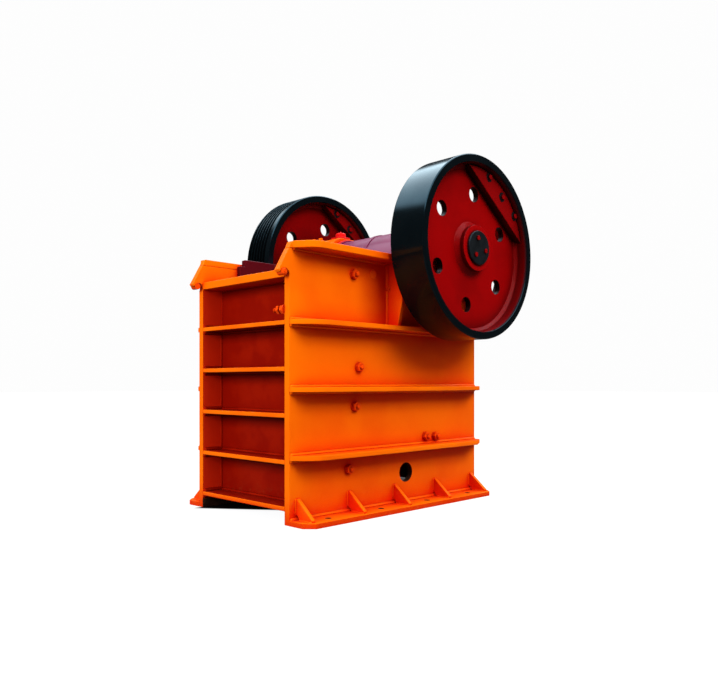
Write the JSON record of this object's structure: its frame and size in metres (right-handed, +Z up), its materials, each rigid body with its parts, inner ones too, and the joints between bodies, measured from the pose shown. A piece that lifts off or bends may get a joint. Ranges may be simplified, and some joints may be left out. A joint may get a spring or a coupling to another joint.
{
  "type": "jaw crusher",
  "caption": "Single-toggle jaw crusher: ribbed plate frame, toothed jaws, eccentric shaft with flywheel and grooved pulley, all turning together.",
  "frame": {"origin": "on the floor, at the centre of the outer holding-down bolt holes", "axes": "+X along the shaft to the flywheel side, -Y the front wall at the feed end, +Y the rear wall, +Z up"},
  "size_m": [1.87, 2.105, 2.468],
  "materials": {
    "frame_paint": "gloss orange paint",
    "wheel_paint": "gloss dark red paint with a black rim",
    "bearing_paint": "gloss red paint",
    "manganese_steel": "maroon primer on cast steel",
    "bare_steel": "oiled bare steel"
  },
  "bodies": {
    "frame": {"side_plate_right": "frame_paint", "side_ribs_right": "frame_paint", "top_flange_right": "frame_paint", "base_flange_right": "frame_paint", "base_gussets_right": "frame_paint", "bearing_stiffeners_right": "frame_paint", "bearing_seat_right": "frame_paint", "bearing_cap_right": "frame_paint", "side_plate_left": "frame_paint", "side_ribs_left": "frame_paint", "top_flange_left": "frame_paint", "base_flange_left": "frame_paint", "base_gussets_left": "frame_paint", "bearing_stiffeners_left": "frame_paint", "bearing_seat_left": "frame_paint", "bearing_cap_left": "frame_paint", "front_wall": "frame_paint", "front_lip": "frame_paint", "front_ribs": "frame_paint", "rear_wall": "frame_paint", "rear_ribs": "frame_paint", "toggle_seat": "frame_paint", "spring_bracket": "frame_paint", "grease_block_right": "bearing_paint", "bearing_housing_right": "bearing_paint", "grease_block_left": "bearing_paint", "bearing_housing_left": "bearing_paint", "cap_nuts_right": "bare_steel", "cap_nuts_left": "bare_steel", "toggle_plate": "bare_steel", "fixed_jaw_plate": "manganese_steel", "cheek_plate_right": "manganese_steel", "cheek_plate_left": "manganese_steel"},
    "rotor": {"eccentric_shaft": "bare_steel", "flywheel": "wheel_paint", "flywheel_counterweight": "wheel_paint", "grooved_pulley": "wheel_paint", "pulley_counterweight": "wheel_paint", "shaft_end_plates": "bare_steel"},
    "pitman": {"swing_jaw": "bearing_paint", "swing_jaw_plate": "manganese_steel", "jaw_wedge": "bare_steel", "tension_rod": "bare_steel", "tension_spring": "bare_steel"}
  },
  "joints": [
    {"name": "shaft_spin", "type": "hinge", "parent": "frame", "child": "rotor", "pos_m": [0, 0.425, 1.823], "axis": [1, 0, 0], "continuous": true},
    {"name": "jaw_swing", "type": "hinge", "parent": "rotor", "child": "pitman", "pos_m": [0, 0.41462, 1.80829], "axis": [1, 0, 0], "continuous": true}
  ],
  "couplings": [
    {"joint": "jaw_swing", "follows": "shaft_spin", "ratio": -1}
  ]
}
